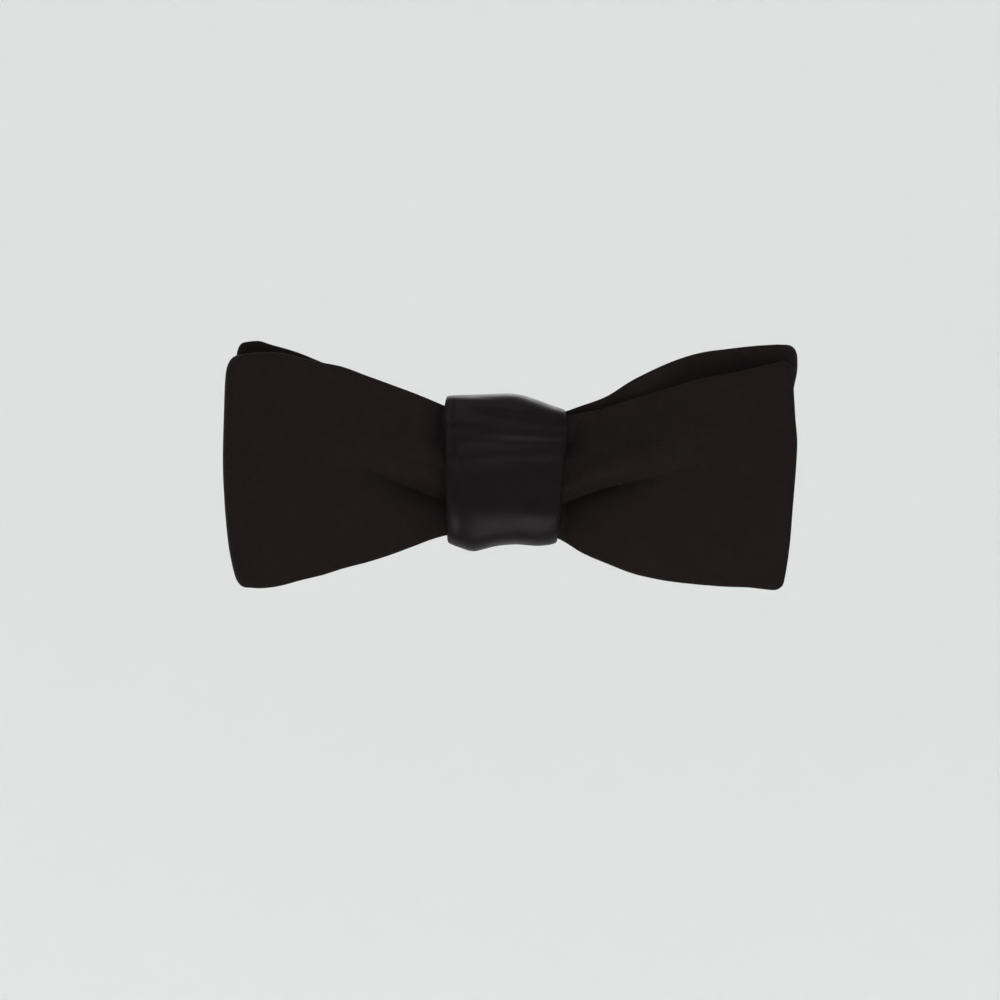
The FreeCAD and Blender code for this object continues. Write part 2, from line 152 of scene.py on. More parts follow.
def ribbon(name, surface, length, edges, half, ladder=SEWN, ends=SEWN, closed=False, step=STEP, thin=None):
    """A closed ribbon. surface(s, t) gives points, and edges(s) gives the low and high t at each s."""
    if closed:
        s = np.linspace(0, length, max(int(length / step), 8) + 1)
        end_share = np.ones(len(s))
    else:
        s, end_share = rows(np.array(0.0), np.array(float(length)), ends, step)
    low, high = edges(s)
    t, share = rows(np.broadcast_to(low, s.shape), np.broadcast_to(high, s.shape), ladder, step)
    s_grid = np.broadcast_to(s[:, None], t.shape)
    middle = surface(s_grid, t)
    nudge = 0.05
    along = surface(s_grid + nudge, t) - surface(s_grid - nudge, t)
    across = surface(s_grid, t + nudge) - surface(s_grid, t - nudge)
    normal = np.cross(along, across)
    normal /= np.maximum(np.linalg.norm(normal, axis=-1, keepdims=True), 1e-9)
    thickness = half * end_share[:, None] * share[None, :]
    if thin is not None:
        thickness = thickness * thin(s_grid, t)
    outer = middle + normal * thickness[..., None]
    inner = middle - normal * thickness[..., None]
    rows_n, cols_n = t.shape
    verts = np.concatenate([outer.reshape(-1, 3), inner.reshape(-1, 3)]) * MM
    uv = np.concatenate([np.stack([s_grid, t], -1).reshape(-1, 2)] * 2) * MM
    faces = []
    offset = rows_n * cols_n
    for i in range(rows_n - 1):
        for j in range(cols_n - 1):
            a = i * cols_n + j
            b = a + cols_n
            c = b + 1
            d = a + 1
            faces.append((a, b, c, d))
            faces.append((offset + d, offset + c, offset + b, offset + a))
    return finish_mesh(name, verts, faces, uv)


def finish_mesh(name, verts, faces, uv=None):
    """A smooth-shaded object, with its doubled border points welded."""
    mesh = bpy.data.meshes.new(name)
    mesh.from_pydata([tuple(v) for v in verts], [], faces)
    if uv is not None:
        layer = mesh.uv_layers.new(name="cloth")
        corner = np.empty(len(mesh.loops), dtype=np.int32)
        mesh.loops.foreach_get("vertex_index", corner)
        layer.data.foreach_set("uv", uv[corner].reshape(-1).astype(np.float32))
    bm = bmesh.new()
    bm.from_mesh(mesh)
    bmesh.ops.remove_doubles(bm, verts=bm.verts, dist=1.5e-6)
    bmesh.ops.dissolve_degenerate(bm, dist=1e-7, edges=bm.edges)
    bmesh.ops.recalc_face_normals(bm, faces=bm.faces)
    bm.to_mesh(mesh)
    bm.free()
    mesh.shade_smooth()
    piece = bpy.data.objects.new(name, mesh)
    bpy.context.scene.collection.objects.link(piece)
    return piece


# ---- stage, light and camera ----
def stage_bowl():
    """A wide pale dish: a flat floor that curves up into walls, open at the top."""
    profile = [(0.0, -1.0), (1.3, -1.0), (1.7, -0.92), (1.95, -0.6), (2.05, -0.1), (2.05, 0.8), (2.05, 1.8)]
    _, dense = smooth_path(profile, 0.06)
    turns = 96
    verts, faces = [], []
    for r, z in dense:
        for k in range(turns):
            a = 2 * math.pi * k / turns
            verts.append((r * math.cos(a), r * math.sin(a), z))
    for i in range(len(dense) - 1):
        for k in range(turns):
            n = (k + 1) % turns
            faces.append((i * turns + k, i * turns + n, (i + 1) * turns + n, (i + 1) * turns + k))
    mesh = bpy.data.meshes.new("studio_dish")
    mesh.from_pydata(verts, [], faces)
    mesh.shade_smooth()
    dish = bpy.data.objects.new("studio_dish", mesh)
    bpy.context.scene.collection.objects.link(dish)
    paper = bpy.data.materials.new("studio_paper")
    paper.use_nodes = True
    shader = paper.node_tree.nodes["Principled BSDF"]
    shader.inputs["Base Color"].default_value = (0.8, 0.81, 0.805, 1)
    shader.inputs["Roughness"].default_value = 0.95
    mesh.materials.append(paper)


def area_light(name, place, aim, size, watts, colour=(1, 1, 1)):
    lamp = bpy.data.lights.new(name, "AREA")
    lamp.shape = "RECTANGLE"
    lamp.size, lamp.size_y = size
    lamp.energy = watts
    lamp.color = colour
    thing = bpy.data.objects.new(name, lamp)
    thing.location = place
    thing.rotation_euler = (Vector(aim) - Vector(place)).to_track_quat("-Z", "Y").to_euler()
    thing.visible_camera = False
    bpy.context.scene.collection.objects.link(thing)


def set_stage():
    stage_bowl()
    bpy.context.scene.view_settings.view_transform = "Standard"
    world = bpy.data.worlds.new("studio")
    world.use_nodes = True
    sky = world.node_tree.nodes["Background"]
    sky.inputs["Color"].default_value = (1, 1, 1, 1)
    sky.inputs["Strength"].default_value = 0.96
    bpy.context.scene.world = world
    area_light("key", (0.15, -0.9, -0.8), (0, -0.07, 0), (0.9, 0.5), 11)
    area_light("top", (-0.3, -0.8, 1.1), (0, -0.05, 0), (0.9, 0.7), 5)
    area_light("back", (0.1, 1.1, 0.9), (0, 0.0, 0), (0.9, 0.6), 9)
    lens = bpy.data.cameras.new("camera")
    lens.lens = 100
    lens.sensor_width = 36
    lens.clip_start = 0.01
    camera = bpy.data.objects.new("camera", lens)
    field = 0.220  # width of the view at the bow
    camera.location = (-0.00154, -0.077 - field * lens.lens / lens.sensor_width, -0.00704)
    camera.rotation_euler = (math.pi / 2, 0, 0)
    bpy.context.scene.collection.objects.link(camera)
    bpy.context.scene.camera = camera


# ---- the bows ----
def valley(z, line, depth, above, below):
    """A crease along a line of heights: a steep flank above it and a softer one below."""
    d = z - line
    return depth * np.where(d > 0, np.exp(-((d / above) ** 2)), np.exp(-np.abs(d) / below))


def ridge(z, line, height, width):
    return -height * np.exp(-(((z - line) / width) ** 2))


# heights of the two main creases and of the full fold over the right one, along the bow
left_crease = curve(
    [(-45, 5.0), (-39, 3.0), (-32, 0.0), (-25.7, -2.8), (-19, -5.4), (-13.8, -7.2), (-8, -7.4)]
)
right_crease = curve(
    [(6, -9.6), (11.9, -8.2), (17, -6.2), (23.8, -3.9), (31.5, -2.2), (40, 0.2), (48, 3.4)]
)
right_bulge = curve([(6, -6.2), (15, -3.8), (24, 0.4), (34, 4.2), (42.5, 7.6), (51, 13.0), (60, 18.0)])


def gathers(x, z, share):
    """How far back the knot's pull pushes the cloth, times the share of it that reaches this layer."""
    left_reach = ramp(x, -41, -17) * ramp(-x, 9.5, 14.0)
    right_reach = ramp(-x, -44, -17) * ramp(x, 9.5, 13.5)
    back = valley(z, left_crease(x), 4.1 * left_reach, 2.6, 4.8)
    back = back + valley(z, right_crease(x), 4.5 * right_reach, 2.1, 4.8)
    back = back + ridge(z, right_bulge(x), 1.5 * ramp(x, 10, 18) * ramp(-x, -58, -34), 4.6)
    back = back + ridge(z, left_crease(x) + 7.0, 0.8 * ramp(-x, 10, 18) * ramp(x, -46, -26), 4.2)
    # slots beside the knot, where the upper half of each wing turns in
    back = back + 2.4 * ramp(z, 2.5, 7.0) * ramp(x, -19, -14.6) * ramp(-x, 9.5, 13)
    back = back + 2.6 * ramp(z, 1.5, 6.0) * ramp(-x, -18.5, -14.2) * ramp(x, 9.5, 12.6)
    # small secondary pleats that fan out from the knot
    for side, slope, depth in ((-1, 0.32, 0.5), (-1, -0.36, 0.45), (1, 0.42, 0.4), (1, -0.3, 0.55)):
        far = side * x
        line = -1.0 + slope * (far - 12)
        back = back + valley(z, line, depth * ramp(far, 11, 15) * ramp(-far, -32, -17), 1.6, 1.9)
    return back * share


def swell(x, z, low, high):
    """The soft crown of each wing, and its small unevenness."""
    across = (2 * z - low - high) / (high - low)
    wing = ramp(np.abs(x), 14, 34)
    edge_roll = 0.9 * wing * np.abs(across) ** 3
    slack = 0.22 * ripple(x, z, 24, 2) + 0.09 * ripple(x, z, 9, 5)
    return edge_roll + wing * slack + 0.035 * ripple(x, z, 3.4, 3)


def half_circle(x, depth, radius, way):
    """Path points round a fold at x, from its near side at depth to depth + 2 * radius * way."""
    side = 1 if x > 0 else -1
    points = []
    for k in range(5):
        a = math.pi * k / 4
        points.append((x + side * radius * math.sin(a), depth + way * radius * (1 - math.cos(a))))
    return points


def no_tuck(s, x, z, low, high, turn):
    return 0.0


def strap(name, path, fold_side, edges, sides, share, tuck=no_tuck):
    """One strap of the bow. edges holds (low, high) curves before and after the fold.

    sides gives each end's plain reach and its reach at each height. share is a layer's part of the
    gathers, before and after the fold. tuck moves the cloth back further.
    """
    (low_a, high_a), (low_b, high_b) = edges
    share_before, share_after = share
    s_path, points = smooth_path(path)
    turn = s_path[np.argmax(points[:, 0] * fold_side)]  # distance along the strap to its fold

    def place(s):
        return np.interp(s, s_path, points[:, 0]), np.interp(s, s_path, points[:, 1])

    def limits(s):
        x, _ = place(s)
        after = ramp(s, turn - 5, turn + 5)
        return low_a(x) * (1 - after) + low_b(x) * after, high_a(x) * (1 - after) + high_b(x) * after

    def surface(s, z):
        x, depth = place(s)
        low, high = limits(s)
        layer = share_before + (share_after - share_before) * ramp(s, turn - 4, turn + 4)
        depth = depth + gathers(x, z, layer) + swell(x, z, low, high) + tuck(s, x, z, low, high, turn)
        for side, (whole, reach) in sides.items():
            wide = reach(z) / whole
            out = ramp(side * x, 16, 58)
            x = np.where(side * x > 16, x * (1 + (wide - 1) * out), x)
        return np.stack([x, KNOT_Y + depth, z], axis=-1)

    def squeezed(s, z):
        x, _ = place(s)
        return 0.72 + 0.28 * ramp(np.abs(x), 12, 24)

    return ribbon(name, surface, s_path[-1], limits, STRAP / 2, thin=squeezed)


def front_bow():
    """Strap A: from the knot to the fold at -X, back across the front, and out to its free end at +X."""
    path = [(-1, -1.4), (-13, -1.4), (-20, -0.9), (-32, 0.7), (-46, 1.0), (-55, 0.7)]
    path += half_circle(-60.0, 0.2, 2.2, -1)
    path += [(-55, -5.0), (-46, -6.2), (-34, -6.7), (-24, -5.8), (-17, -4.3), (-12, -3.5), (0, -3.3)]
    path += [(12, -3.5), (17, -4.2), (24, -5.4), (34, -6.0), (46, -5.4), (56, -3.9), (64.2, -2.6)]
    high = curve(
        [(-64, 24.6), (-59.2, 25.3), (-51.5, 25.1), (-42, 23.3), (-36.3, 22.2), (-31, 20.3), (-25.7, 18.4)]
        + [(-20.5, 16.5), (-15, 14.3), (-10, 12.6), (0, 11.8), (10, 11.3), (15, 11.9), (20, 12.9), (27, 15.0)]
        + [(35.4, 17.4), (44, 19.8), (50.2, 20.9), (57, 22.3), (63.5, 23.6)]
    )
    low = curve(
        [(-64, -26.4), (-57.4, -26.4), (-52.1, -25.7), (-46.9, -24.6), (-41.6, -23.5), (-36.3, -22)]
        + [(-31, -20.7), (-25.7, -19.1), (-20.5, -17.2), (-15.2, -15.3), (-10, -14.2), (0, -13.8)]
        + [(10, -15.0), (16.9, -18.9), (22.2, -21.1), (27.5, -23.1), (32.8, -24.3), (38, -25.1)]
        + [(48.6, -26.0), (56.5, -26.3), (63.5, -26.9)]
    )
    fold = curve(
        [(-27.5, 57.0), (-26.4, 58.0), (-25.2, 59.2), (-23.8, 60.0), (-20.2, 60.9), (-16.7, 61.5)]
        + [(-8, 62.3), (0.9, 62.7), (11.4, 62.5), (20, 62.2), (22, 61.9), (23.8, 61.0), (25.0, 59.6)]
        + [(26.0, 57.5)]
    )
    free = curve(
        [(-28, 58.0), (-26.9, 59.2), (-26.0, 60.6), (-23.8, 61.2), (-16.7, 62.2), (-7.9, 62.9), (0.9, 63.6)]
        + [(6.2, 63.8), (11.4, 63.4), (18.5, 63.0), (21.6, 62.8), (22.8, 62.2), (23.9, 60.6)]
    )

    def tuck(s, x, z, low, high, turn):
        """Close to the knot the free end's upper edge rolls back onto the rear bow."""
        across = (2 * z - low - high) / (high - low)
        return 3.4 * ramp(across, 0.3, 1.0) * ramp(x, 12, 20) * ramp(-x, -42, -30) * ramp(s, turn, turn + 20)

    sides = {-1: (62.6, fold), 1: (63.9, free)}
    edges = ((raised(low, 0.9), raised(high, -0.9)), (low, high))
    return strap("front_bow_cloth", path, -1, edges, sides, (0.62, 1.0), tuck)


def rear_bow():
    """Strap B: from its free end at -X across the back of the knot, round the fold at +X, and home."""
    path = [(-59.6, 3.4), (-50, 3.5), (-38, 3.3), (-28, 2.7), (-18, 1.3), (-12, 0.7), (0, 0.6)]
    path += [(12, 0.6), (18, 0.3), (28, -0.7), (38, -1.1), (48, -1.0), (56, -0.3)]
    path += half_circle(61.6, 0.2, 2.2, 1)
    path += [(55, 5.4), (42, 6.3), (30, 6.0), (20, 4.3), (13, 3.0), (1, 2.9)]
    high = curve(
        [(-62, 27.4), (-59.0, 28.2), (-57.0, 28.5), (-52.1, 27.5), (-46.9, 26.1), (-41.6, 24.0)]
        + [(-36.3, 21.6), (-28, 18.4), (-20, 15.2), (-12, 12.3), (0, 11.8), (10, 12.0), (16.9, 14.0)]
        + [(22.2, 16.0), (27.5, 19.3), (32.8, 22.0), (38, 24.2), (43.3, 25.7), (48.6, 26.4)]
        + [(56.5, 27.2), (65, 27.6)]
    )
    low = curve(
        [(-62, -24.2), (-58, -24.0), (-50, -23.2), (-38, -20.6), (-28, -18.2), (-20, -15.6), (-12, -13.4)]
        + [(0, -13.0), (12, -13.2), (20, -16.4), (28, -19.4), (38, -21.6), (50, -22.6), (65, -22.4)]
    )
    free = curve(
        [(-25, 58.8), (-24.2, 59.6), (-22.5, 60.3), (-15, 60.4), (0, 60.4), (12, 60.2), (24, 59.9)]
        + [(26.5, 59.5), (27.8, 58.8), (28.6, 57.4)]
    )
    fold = curve(
        [(-23.5, 58.6), (-22.0, 59.6), (-18, 60.6), (-8, 61.4), (5, 62.0), (13, 62.5), (18.5, 63.4)]
        + [(22, 64.1), (25.5, 64.0), (26.6, 63.4), (27.6, 62.0), (28.2, 60.6)]
    )
    sides = {-1: (59.0, free), 1: (63.7, fold)}
    edges = ((low, high), (raised(low, 0.7), raised(high, -1.0)))
    return strap("rear_bow_cloth", path, 1, edges, sides, (0.5, 0.36))


# ---- the knot ----
def knot():
    """The strap that wraps the middle: a loop round the bows, seen as one broad band with soft folds."""
    # the loop seen from the side: depth, and height as a share of the knot's half height
    loop = [(5.1, 0.0), (5.1, 0.5), (4.3, 0.83), (2.0, 0.97), (-1.2, 1.0), (-3.9, 0.93), (-5.5, 0.74)]
    loop += [(-6.3, 0.42), (-6.8, 0.02), (-7.2, -0.36), (-6.9, -0.68), (-5.2, -0.9), (-2.4, -0.99)]
    loop += [(1.2, -1.0), (3.9, -0.86), (5.0, -0.52), (5.1, 0.0)]
    half_height = 16
    s_path, points = smooth_path([(d, half_height * h) for d, h in loop])
    top = curve(
        [(-14.5, 15.1), (-11.4, 15.5), (-5.9, 15.7), (1.8, 15.8), (6, 14.7), (10, 13.2), (13.5, 11.9)]
    )
    bottom = curve(
        [(-14.5, -15.2), (-12.6, -15.8), (-10.3, -16.8), (-7.5, -17.6), (-5.5, -17.2)]
        + [(-2.6, -16.5), (1.8, -16.1), (7.3, -16.4), (10.1, -15.9), (12.5, -14.8)]
    )
    right = curve([(-17, 10.9), (-12, 11.4), (-6, 11.9), (1, 12.4), (7, 13.0), (12, 13.1), (17, 12.8)])
    left = curve([(-17, -13.0), (-10, -13.3), (-2, -13.5), (6, -13.6), (12, -13.9), (17, -13.2)])

    def height(s):
        return np.interp(np.mod(s, s_path[-1]), s_path, points[:, 1]) / half_height

    def limits(s):
        z = half_height * height(s)
        return left(z), right(z)

    def surface(s, x):
        share = height(s)
        depth = np.interp(np.mod(s, s_path[-1]), s_path, points[:, 0])
        z = np.where(share > 0, share * top(x), -share * bottom(x))
        front = ramp(-depth, 0.5, 4.5)
        back = ramp(depth, 0.5, 4.0)
        low, high = limits(s)
        across = (2 * x - low - high) / (high - low)
        push = 1.25 * front * np.abs(across) ** 3.2 - 0.4 * back * np.abs(across) ** 3
        # a soft ridge a little above the middle, with slack folds over it that run down to the right
        tilt = 0.05 * (x + 2)
        push = push + front * (
            ridge(z, 3.0 + tilt + 0.25 * ripple(x, 0 * x, 17, 4), 0.42, 1.5)
            - ridge(z, 5.8 - 0.5 * tilt, 0.40, 1.3) * ramp(x, -13, -8)
            + ridge(z, 8.4 - 2.2 * tilt, 0.28, 1.5)
            - ridge(z, 10.9 - 3.0 * tilt, 0.36, 1.3) * ramp(x, -10, -2)
            - ridge(z, 9.4 + 0.16 * x, 0.22, 1.1) * ramp(-x, -2, 6)
            - ridge(z, -1.6 + 0.06 * x, 0.22, 1.6) * ramp(-x, -10, 2)
            + ridge(z, -9.5 - 0.07 * x, 0.25, 2.6)
            + ridge(z, 13.4 - 2.6 * tilt, 0.35, 1.1)
        )
        # the rolled rim stands out along the left edge, with a groove inside it
        inside = x - low
        push = push - front * ridge(inside, 2.3, 0.34, 0.42)
        push = push + front * ridge(inside, 1.1, 0.16, 0.7)
        push = push + front * (0.10 * ripple(x, z, 8, 7) + 0.05 * ripple(x, z, 3.1, 1))
        depth = depth + push
        # the lower rim is drawn under in a shallow hollow either side of its lowest point
        z = z + 0.25 * ripple(x, depth, 11, 6) * (1 - np.abs(share)) * 0.5
        return np.stack([x, KNOT_Y + depth, z], axis=-1)

    return ribbon("knot_cloth", surface, s_path[-1], limits, STRAP / 2, closed=True, step=0.55)


# ---- band, tapes and label ----
def ring_point(radius, degrees):
    a = math.radians(degrees)
    return radius * math.sin(a), -radius * math.cos(a)


def ring_run(radius, start, end, step=5.0):
    """Path points round the neck. radius is a number or a function of the angle."""
    count = max(int(abs(end - start) / step), 1)
    angles = [start + (end - start) * k / count for k in range(count + 1)]
    return [ring_point(radius(a) if callable(radius) else radius, a) for a in angles]


def band(name, path, half_width, half, ladder, ends, wave=0.0, seed=1, step=1.1):
    """A strip of even width that stands on its edge along a path seen from above."""
    s_path, points = smooth_path(path)

    def limits(s):
        return np.full(np.shape(s), -half_width), np.full(np.shape(s), half_width)

    def surface(s, z):
        x = np.interp(s, s_path, points[:, 0])
        y = np.interp(s, s_path, points[:, 1])
        out = np.sqrt(x * x + y * y)
        shift = wave * ripple(s, z, 16, seed) + 0.4 * wave * ripple(s, z, 5, seed + 3)
        near_edge = np.clip((np.abs(z) - half_width + 3) / 3, 0, 1) ** 2
        pucker = 0.4 * wave * np.sin(2 * math.pi * s / 2.6) * near_edge
        grow = 1 + (shift + pucker) / out
        return np.stack([x * grow, y * grow, z + 0 * x], axis=-1)

    return ribbon(name, surface, s_path[-1], limits, half, ladder=ladder, ends=ends, step=step)


def turn_points(radius, angle, small, way):
    """Path points of a tape's half turn from a ring of that radius, outwards round a bar."""
    ax, ay = ring_point(radius + small, angle)
    a = math.radians(angle)
    along = np.array([math.cos(a), math.sin(a)]) * way
    out = np.array([math.sin(a), -math.cos(a)])
    points = []
    for k in range(1, 6):
        b = math.pi * k / 6
        spot = np.array([ax, ay]) + along * small * math.sin(b) - out * small * math.cos(b)
        points.append((spot[0], spot[1]))
    return points


def bands_and_tapes():
    middle = NECK + STRAP / 2
    made = {}
    path = ring_run(middle, -160, 9)
    made["left_band"] = band("left_band_cloth", path, HALF_BAND, STRAP / 2, SEWN, SEWN, wave=0.06, seed=2)

    def crossing(angle):
        """The right half stands out where it passes over the left half."""
        return middle + 1.95 * (1 - float(ramp(np.array(angle), 5.0, 25.0)))

    path = ring_run(crossing, -9, 76, 2.5)
    made["right_band"] = band("right_band_cloth", path, HALF_BAND, STRAP / 2, SEWN, SEWN, wave=0.05, seed=6)
    # a tape leaves the band from between its panels, then comes in to the neck
    sewn = NECK + PANEL + TAPE / 2
    inner = NECK + TAPE / 2
    outer = inner + 2 * BAR_TURN
    path = ring_run(sewn, 70, 76.6, 3) + ring_run(inner, 81.6, CLOSURE - 0.6)
    path += turn_points(inner, CLOSURE, BAR_TURN, 1) + ring_run(outer, CLOSURE - 0.6, 90.6)
    path += turn_points(outer, 90, FOLD_TURN, -1) + ring_run(outer + 2 * FOLD_TURN, 90.8, 94)
    made["tape_adjuster"] = band("tape_adjuster_cloth", path, HALF_TAPE, TAPE / 2, WOVEN, PLAIN)
    lie = NECK + STRAP + TAPE_LIFT + TAPE / 2
    path = ring_run(sewn, -154, -160.6, 3) + ring_run(inner, -164.6, 0.6 - CLOSURE, 3)
    path += turn_points(inner, -CLOSURE, BAR_TURN, -1)
    path += [ring_point(outer - 0.1, -168.4), ring_point(outer - 0.55, -165.0)]
    path += [ring_point(lie + 0.35, -161.0)]
    path += ring_run(lie, -157.6, -151, 3)
    made["tape_eye"] = band("tape_eye_cloth", path, HALF_TAPE, TAPE / 2, WOVEN, PLAIN, step=0.8)
    path = ring_run(NECK + STRAP + 0.22, -118, -98, 4)
    made["label"] = band("label_cloth", path, 6.0, 0.13, WOVEN, WOVEN, wave=0.02, seed=4, step=0.6)
    return made


# ---- thread ----
def stitches(name, places, length=1.5, thick=0.17):
    """Two-ply stitches. places holds (radius, degrees, z, True where the stitch stands up)."""
    verts, faces = [], []
    around, along = 10, 14
    for number, (radius, degrees, z, upright) in enumerate(places):
        a = math.radians(degrees)
        out = Vector((math.sin(a), -math.cos(a), 0))
        side = Vector((math.cos(a), math.sin(a), 0))
        way, cross = (Vector((0, 0, 1)), side) if upright else (side, Vector((0, 0, 1)))
        lean = 0.10 * math.sin(2.3 * number + 1)
        way, cross = way + cross * lean, cross - way * lean
        centre = out * radius + Vector((0, 0, z))
        start = len(verts)
        for i in range(along + 1):
            f = i / along
            bow = math.sin(math.pi * f)
            body = thick * (0.25 + 0.75 * min(1.0, bow * 2.2))
            spine = centre + way * (f - 0.5) * length + out * (0.16 * bow - 0.06)
            for k in range(around):
                b = 2 * math.pi * k / around
                ply = 1 - 0.2 * abs(math.sin(b + f * length * 3.6))
                verts.append(spine + (cross * math.cos(b) + out * math.sin(b)) * body * ply)
        for i in range(along):
            for k in range(around):
                n = (k + 1) % around
                faces.append((start + i * around + k, start + i * around + n,
                              start + (i + 1) * around + n, start + (i + 1) * around + k))
        faces.append(tuple(start + k for k in reversed(range(around))))
        faces.append(tuple(start + along * around + k for k in range(around)))
    return finish_mesh(name, np.array([tuple(v) for v in verts]) * MM, faces)


def tack(radius, degrees, step):
    """Two close columns of upright stitches across a band."""
    reach = HALF_BAND - 1.8
    heights = [-reach + 2 * reach * k / 7 for k in range(8)]
    return [(radius, degrees + turn, z, True) for turn in (0.0, step) for z in heights]


# ---- materials ----
class Tree:
    """A material's nodes, made one call at a time."""

    def __init__(self, name):
        self.material = bpy.data.materials.new(name)
        self.material.use_nodes = True
        self.nodes = self.material.node_tree.nodes
        self.links = self.material.node_tree.links
        self.shader = self.nodes["Principled BSDF"]

    def put(self, target, value):
        """Links a node's output to a socket, or sets the socket's own value."""
        if isinstance(value, bpy.types.NodeSocket):
            self.links.new(value, target)
        else:
            target.default_value = value

    def maths(self, operation, *values):
        node = self.nodes.new("ShaderNodeMath")
        node.operation = operation
        for k, value in enumerate(values):
            self.put(node.inputs[k], value)
        return node.outputs[0]

    def noise(self, where, scale, detail=3.0, roughness=0.55):
        node = self.nodes.new("ShaderNodeTexNoise")
        self.put(node.inputs["Vector"], where)
        for key, value in (("Scale", scale), ("Detail", detail), ("Roughness", roughness)):
            self.put(node.inputs[key], value)
        return node.outputs["Fac"]

    def stretch(self, where, scale):
        node = self.nodes.new("ShaderNodeMapping")
        self.put(node.inputs["Vector"], where)
        node.inputs["Scale"].default_value = scale
        return node.outputs["Vector"]

    def blend(self, share, first, second):
        node = self.nodes.new("ShaderNodeMix")
        node.data_type = "RGBA"
        self.put(node.inputs[0], share)
        self.put(node.inputs[6], first)
        self.put(node.inputs[7], second)
        return node.outputs[2]

    def spread(self, value, low, high, to_low=0.0, to_high=1.0):
        node = self.nodes.new("ShaderNodeMapRange")
        for k, number in enumerate((value, low, high, to_low, to_high)):
            self.put(node.inputs[k], number)
        return node.outputs[0]

    def bump(self, height, strength, distance, normal=None):
        node = self.nodes.new("ShaderNodeBump")
        self.put(node.inputs["Height"], height)
        node.inputs["Strength"].default_value = strength
        node.inputs["Distance"].default_value = distance
        if normal is not None:
            self.links.new(normal, node.inputs["Normal"])
        return node.outputs["Normal"]

    def set(self, **values):
        for key, value in values.items():
            self.put(self.shader.inputs[key.replace("_", " ")], value)


def cloth_place(tree):
    """The cloth's own coordinates, in metres along and across it."""
    node = tree.nodes.new("ShaderNodeUVMap")
    node.uv_map = "cloth"
    return node.outputs["UV"]


def weave(tree, where, thread):
    """A plain weave of that thread spacing in metres, from 0 in the gaps to 1 on the threads."""
    split = tree.nodes.new("ShaderNodeSeparateXYZ")
    tree.put(split.inputs[0], where)
    waver = tree.noise(where, 900.0, 2.0)
    sines = []
    for k, offset in ((0, 0.0), (1, 1.3)):
        turns = tree.maths("MULTIPLY", split.outputs[k], 2 * math.pi / thread)
        turns = tree.maths("ADD", turns, tree.maths("MULTIPLY", waver, 2.0 + offset))
        sines.append(tree.maths("SINE", turns))
    product = tree.maths("MULTIPLY", sines[0], sines[1])
    return tree.spread(product, -1.0, 1.0)


def silk(name, deep, light, warm, roughness, sheen, satin=0.0):
    """Near-black silk: a fine pebbled weave, faint mottling, and more or less of a satin surface."""
    tree = Tree(name)
    where = cloth_place(tree)
    threads = weave(tree, where, SILK_THREAD)
    grain = tree.noise(where, 2300.0, 4.0, 0.7)
    cloud = tree.noise(where, 46.0, 3.0, 0.6)
    tone = tree.maths("ADD", tree.maths("MULTIPLY", threads, 0.45), tree.maths("MULTIPLY", grain, 0.55))
    colour = tree.blend(tree.spread(tone, 0.25, 0.8), (*deep, 1), (*light, 1))
    colour = tree.blend(tree.spread(cloud, 0.38, 0.68, 0.0, 0.35), colour, (*warm, 1))
    rough = tree.spread(tree.noise(where, 120.0, 3.0), 0.3, 0.7, roughness - 0.07, roughness + 0.07)
    relief = tree.bump(threads, 0.55, 0.00005)
    relief = tree.bump(grain, 0.5, 0.00006, relief)
    relief = tree.bump(tree.noise(where, 170.0, 2.0), 0.3, 0.0004, relief)
    tree.set(Base_Color=colour, Roughness=rough, Normal=relief)
    tree.set(Sheen_Weight=sheen, Sheen_Roughness=0.42, Sheen_Tint=(1.0, 0.83, 0.9, 1))
    tree.set(Specular_IOR_Level=0.05 + satin)
    return tree.material


def ribbed_tape(name):
    """Black petersham: ribs across the tape, over a plain weave."""
    tree = Tree(name)
    where = cloth_place(tree)
    split = tree.nodes.new("ShaderNodeSeparateXYZ")
    tree.put(split.inputs[0], where)
    ribs = tree.maths("SINE", tree.maths("MULTIPLY", split.outputs[0], 2 * math.pi / RIB))
    ribs = tree.spread(ribs, -1.0, 1.0)
    threads = weave(tree, where, TAPE_THREAD)
    height = tree.maths("ADD", ribs, tree.maths("MULTIPLY", threads, 0.4))
    colour = tree.blend(tree.spread(height, 0.1, 1.3), (0.004, 0.003, 0.0033, 1), (0.012, 0.0092, 0.0098, 1))
    tree.set(Base_Color=colour, Roughness=tree.spread(tree.noise(where, 300.0), 0.3, 0.7, 0.6, 0.78))
    tree.set(Normal=tree.bump(tree.noise(where, 2400.0), 0.3, 0.00004, tree.bump(height, 0.7, 0.00012)))
    tree.set(Sheen_Weight=0.04, Sheen_Roughness=0.5, Specular_IOR_Level=0.14)
    return tree.material


def satin_label(name):
    """A plain dark satin, with nothing woven into it."""
    tree = Tree(name)
    where = cloth_place(tree)
    threads = weave(tree, tree.stretch(where, (0.35, 1.0, 1.0)), LABEL_THREAD)
    cloud = tree.noise(where, 90.0)
    colour = tree.blend(tree.spread(threads, 0.1, 0.9), (0.045, 0.040, 0.042, 1), (0.085, 0.077, 0.079, 1))
    colour = tree.blend(tree.spread(cloud, 0.4, 0.7, 0.0, 0.5), colour, (0.055, 0.046, 0.046, 1))
    tree.set(Base_Color=colour, Roughness=tree.spread(cloud, 0.3, 0.7, 0.34, 0.46))
    tree.set(Normal=tree.bump(threads, 0.5, 0.00004))
    tree.set(Sheen_Weight=0.15, Specular_IOR_Level=0.5)
    return tree.material


def object_place(tree):
    return tree.nodes.new("ShaderNodeTexCoord").outputs["Object"]


